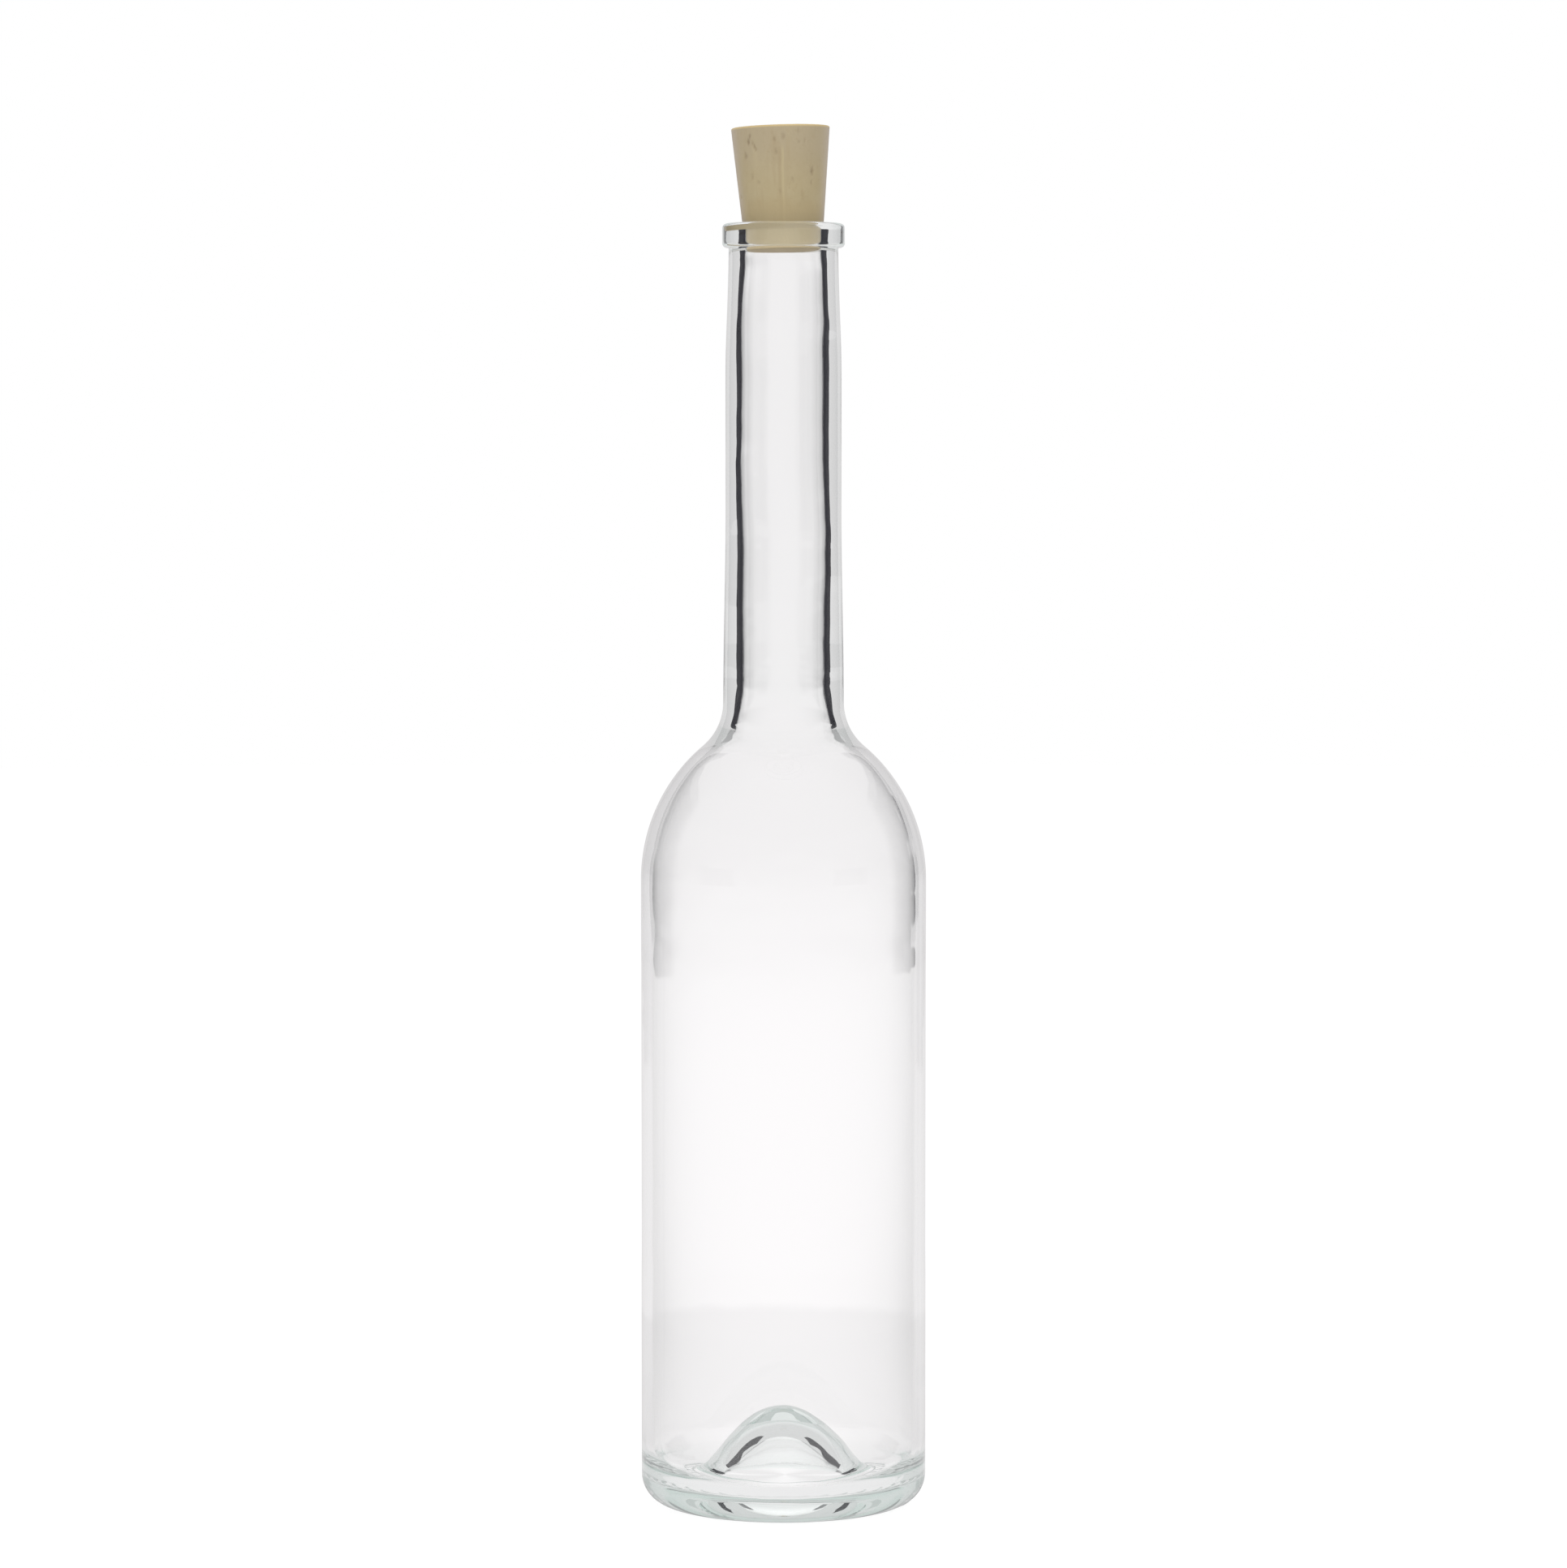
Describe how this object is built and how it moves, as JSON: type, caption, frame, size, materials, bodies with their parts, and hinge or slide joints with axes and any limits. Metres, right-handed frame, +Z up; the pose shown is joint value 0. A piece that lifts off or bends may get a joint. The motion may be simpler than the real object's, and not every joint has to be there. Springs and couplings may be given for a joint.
{
  "type": "glass bottle",
  "caption": "Slim round glass bottle with a long neck, a rolled lip and a punt, closed by a tapered cork stopper that pulls out.",
  "frame": {"origin": "centre of the ring the bottle stands on, on the standing plane", "axes": "+Z up along the bottle's axis, -Y towards the viewer of the picture, +X to the viewer's right"},
  "size_m": [0.0604, 0.0604, 0.2916],
  "materials": {
    "glass": "clear, smooth, faintly green where thick",
    "cork": "natural cork, matt, fine pores"
  },
  "bodies": {
    "bottle": {"glass_bottle": "glass"},
    "cork": {"cork_stopper": "cork"}
  },
  "joints": [
    {"name": "cork_pull", "type": "slide", "parent": "bottle", "child": "cork", "axis": [-0.0291, 0, 0.9996], "range_m": [0, 0.04]}
  ]
}
